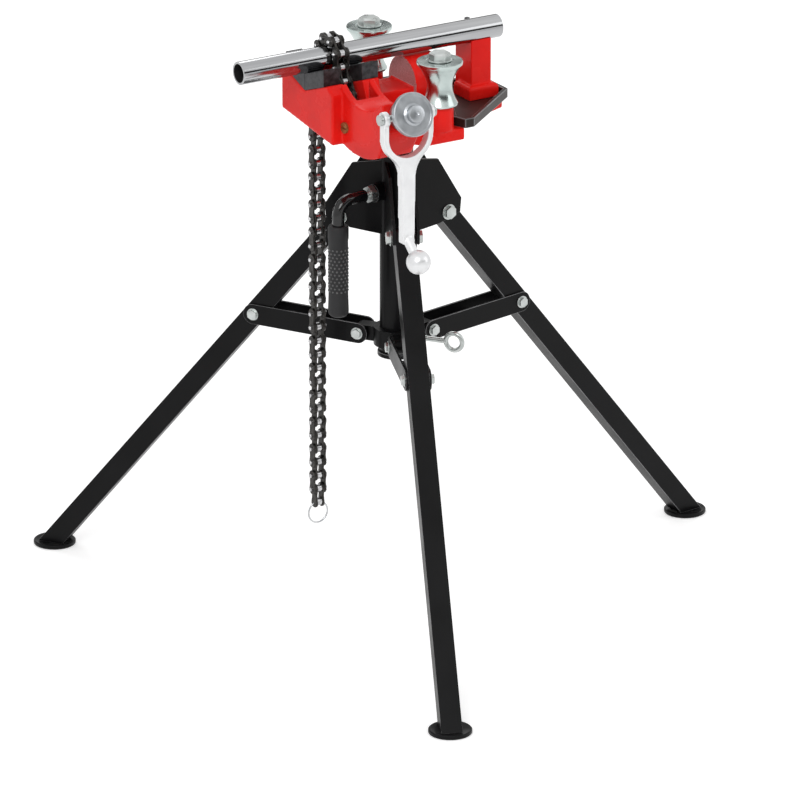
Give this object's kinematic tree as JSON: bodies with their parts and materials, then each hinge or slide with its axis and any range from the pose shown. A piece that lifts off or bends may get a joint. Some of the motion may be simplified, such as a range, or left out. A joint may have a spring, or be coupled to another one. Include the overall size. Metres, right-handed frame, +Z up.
{
  "type": "chain pipe vise",
  "caption": "Folding tripod stand with a cast head that clamps a pipe by a chain over two V jaws, with bending rollers and a tool tray.",
  "frame": {"origin": "on the floor, under the middle of the box around the three feet", "axes": "+Z up, +X along the clamped pipe towards the pipe rest, +Y away from the tension handle"},
  "size_m": [0.9244, 0.9964, 0.8681],
  "materials": {
    "black_paint": "gloss black powder coat",
    "zinc_bolt": "bright zinc plate",
    "grip_rubber": "matt dark rubber",
    "red_enamel": "gloss red enamel",
    "dark_steel": "blackened steel",
    "steel": "bright steel",
    "brass": "brass",
    "cast_silver": "satin silver casting",
    "chrome": "polished"
  },
  "bodies": {
    "stand": {"column_tube": "black_paint", "column_stop": "black_paint", "clamp_boss": "black_paint", "hip_bolts": "zinc_bolt", "leg_bracket_right": "black_paint", "leg_bracket_left": "black_paint", "leg_bracket_front": "black_paint"},
    "leg_right": {"leg_right": "black_paint", "foot_right": "black_paint"},
    "leg_left": {"leg_left": "black_paint", "foot_left": "black_paint"},
    "leg_front": {"leg_front": "black_paint", "foot_front": "black_paint"},
    "collar": {"collar": "black_paint", "collar_bolts": "zinc_bolt"},
    "strut_right": {"strut_right": "black_paint", "knee_studs_right": "zinc_bolt"},
    "strut_left": {"strut_left": "black_paint", "knee_studs_left": "zinc_bolt"},
    "strut_front": {"strut_front": "black_paint", "knee_studs_front": "zinc_bolt"},
    "eye_bolt": {"collar_eye_bolt": "zinc_bolt"},
    "clamp_lever": {"clamp_screw": "zinc_bolt", "lever_tube": "black_paint", "lever_grip": "grip_rubber"},
    "head": {"head_casting": "red_enamel", "head_post": "steel", "jaw_front_near": "dark_steel", "jaw_front_far": "dark_steel", "jaw_rear_near": "dark_steel", "jaw_rear_far": "dark_steel", "tray": "black_paint", "pipe_rest": "red_enamel", "rest_stud": "dark_steel", "roller_bolts": "zinc_bolt", "arm_screw": "brass", "tension_screw": "steel", "wrap_inner_links": "dark_steel", "wrap_outer_links": "dark_steel", "wrap_pins": "dark_steel"},
    "roller_near": {"roller_near": "zinc_bolt"},
    "roller_far": {"roller_far": "zinc_bolt"},
    "tension_nut": {"tension_nut": "cast_silver", "yoke_pins": "zinc_bolt"},
    "yoke": {"yoke_handle": "cast_silver", "handle_ball": "cast_silver"},
    "pipe": {"sample_pipe": "chrome"},
    "chain_1": {"chain_run_1": "dark_steel"},
    "chain_2": {"chain_run_2": "dark_steel"},
    "chain_3": {"chain_run_3": "dark_steel"},
    "chain_4": {"chain_run_4": "dark_steel"},
    "chain_5": {"chain_run_5": "dark_steel"},
    "chain_6": {"chain_run_6": "dark_steel"},
    "chain_7": {"chain_run_7": "dark_steel"},
    "ring": {"chain_ring": "steel"}
  },
  "joints": [
    {"name": "leg_right_fold", "type": "hinge", "parent": "stand", "child": "leg_right", "pos_m": [-0.02877, 0.03979, 0.572], "axis": [-0.1132, 0.9936, 0], "range_deg": [0, 35.28]},
    {"name": "leg_left_fold", "type": "hinge", "parent": "stand", "child": "leg_left", "pos_m": [-0.15585, 0.09504, 0.572], "axis": [-0.8039, -0.5948, 0], "range_deg": [0, 35.28]},
    {"name": "leg_front_fold", "type": "hinge", "parent": "stand", "child": "leg_front", "pos_m": [-0.14016, -0.04263, 0.572], "axis": [0.9171, -0.3987, 0], "range_deg": [0, 35.28]},
    {"name": "collar_slide", "type": "slide", "parent": "stand", "child": "collar", "axis": [0, 0, 1], "range_m": [0, 0.11707]},
    {"name": "strut_right_turn", "type": "hinge", "parent": "collar", "child": "strut_right", "pos_m": [-0.05461, 0.03685, 0.398], "axis": [-0.1132, 0.9936, 0], "range_deg": [0, 78.1]},
    {"name": "strut_left_turn", "type": "hinge", "parent": "collar", "child": "strut_left", "pos_m": [-0.14038, 0.07414, 0.398], "axis": [-0.8039, -0.5948, 0], "range_deg": [0, 78.1]},
    {"name": "strut_front_turn", "type": "hinge", "parent": "collar", "child": "strut_front", "pos_m": [-0.12979, -0.01879, 0.398], "axis": [0.9171, -0.3987, 0], "range_deg": [0, 78.1]},
    {"name": "eye_bolt_turn", "type": "hinge", "parent": "collar", "child": "eye_bolt", "pos_m": [-0.05532, -0.04081, 0.398], "axis": [0.5948, -0.8039, 0], "continuous": true},
    {"name": "clamp_lever_turn", "type": "hinge", "parent": "stand", "child": "clamp_lever", "pos_m": [-0.14999, 0.02598, 0.62], "axis": [-0.9936, -0.1132, 0], "range_deg": [-3, 110]},
    {"name": "head_lift", "type": "slide", "parent": "stand", "child": "head", "axis": [0, 0, 1], "range_m": [0, 0.05]},
    {"name": "roller_near_spin", "type": "hinge", "parent": "head", "child": "roller_near", "pos_m": [-0.09526, -0.06527, 0.77], "axis": [0, 0, 1], "continuous": true},
    {"name": "roller_far_spin", "type": "hinge", "parent": "head", "child": "roller_far", "pos_m": [-0.09526, 0.12673, 0.77], "axis": [0, 0, 1], "continuous": true},
    {"name": "tension_nut_turn", "type": "hinge", "parent": "head", "child": "tension_nut", "pos_m": [-0.21526, -0.18726, 0.809], "axis": [0, -0.9397, 0.342], "continuous": true},
    {"name": "yoke_swing", "type": "hinge", "parent": "tension_nut", "child": "yoke", "pos_m": [-0.21526, -0.17176, 0.80336], "axis": [-1, 0, 0], "range_deg": [0, 110]},
    {"name": "pipe_slide", "type": "slide", "parent": "head", "child": "pipe", "axis": [1, 0, 0], "range_m": [-0.06, 0.1]},
    {"name": "chain_1_swing", "type": "hinge", "parent": "head", "child": "chain_1", "pos_m": [-0.21526, 0.07276, 0.70516], "axis": [1, 0, 0], "range_deg": [-1, 4]},
    {"name": "chain_2_swing", "type": "hinge", "parent": "chain_1", "child": "chain_2", "pos_m": [-0.21526, 0.07276, 0.62276], "axis": [1, 0, 0], "range_deg": [-1, 2]},
    {"name": "chain_3_swing", "type": "hinge", "parent": "chain_2", "child": "chain_3", "pos_m": [-0.21526, 0.07276, 0.54036], "axis": [1, 0, 0], "range_deg": [-1, 2]},
    {"name": "chain_4_swing", "type": "hinge", "parent": "chain_3", "child": "chain_4", "pos_m": [-0.21526, 0.07276, 0.45796], "axis": [1, 0, 0], "range_deg": [-1, 2]},
    {"name": "chain_5_swing", "type": "hinge", "parent": "chain_4", "child": "chain_5", "pos_m": [-0.21526, 0.07276, 0.37556], "axis": [1, 0, 0], "range_deg": [-5, 5]},
    {"name": "chain_6_swing", "type": "hinge", "parent": "chain_5", "child": "chain_6", "pos_m": [-0.21526, 0.07276, 0.29316], "axis": [1, 0, 0], "range_deg": [-5, 5]},
    {"name": "chain_7_swing", "type": "hinge", "parent": "chain_6", "child": "chain_7", "pos_m": [-0.21526, 0.07276, 0.21076], "axis": [1, 0, 0], "range_deg": [-5, 5]},
    {"name": "ring_swing", "type": "hinge", "parent": "chain_7", "child": "ring", "pos_m": [-0.21526, 0.07276, 0.14896], "axis": [1, 0, 0], "range_deg": [-40, 40]}
  ],
  "couplings": [
    {"joint": "leg_left_fold", "follows": "leg_right_fold", "ratio": 1},
    {"joint": "leg_front_fold", "follows": "leg_right_fold", "ratio": 1},
    {"joint": "collar_slide", "follows": "leg_right_fold", "m_per_rad": 0.18929},
    {"joint": "strut_right_turn", "follows": "leg_right_fold", "ratio": 2.212},
    {"joint": "strut_left_turn", "follows": "leg_right_fold", "ratio": 2.212},
    {"joint": "strut_front_turn", "follows": "leg_right_fold", "ratio": 2.212}
  ]
}
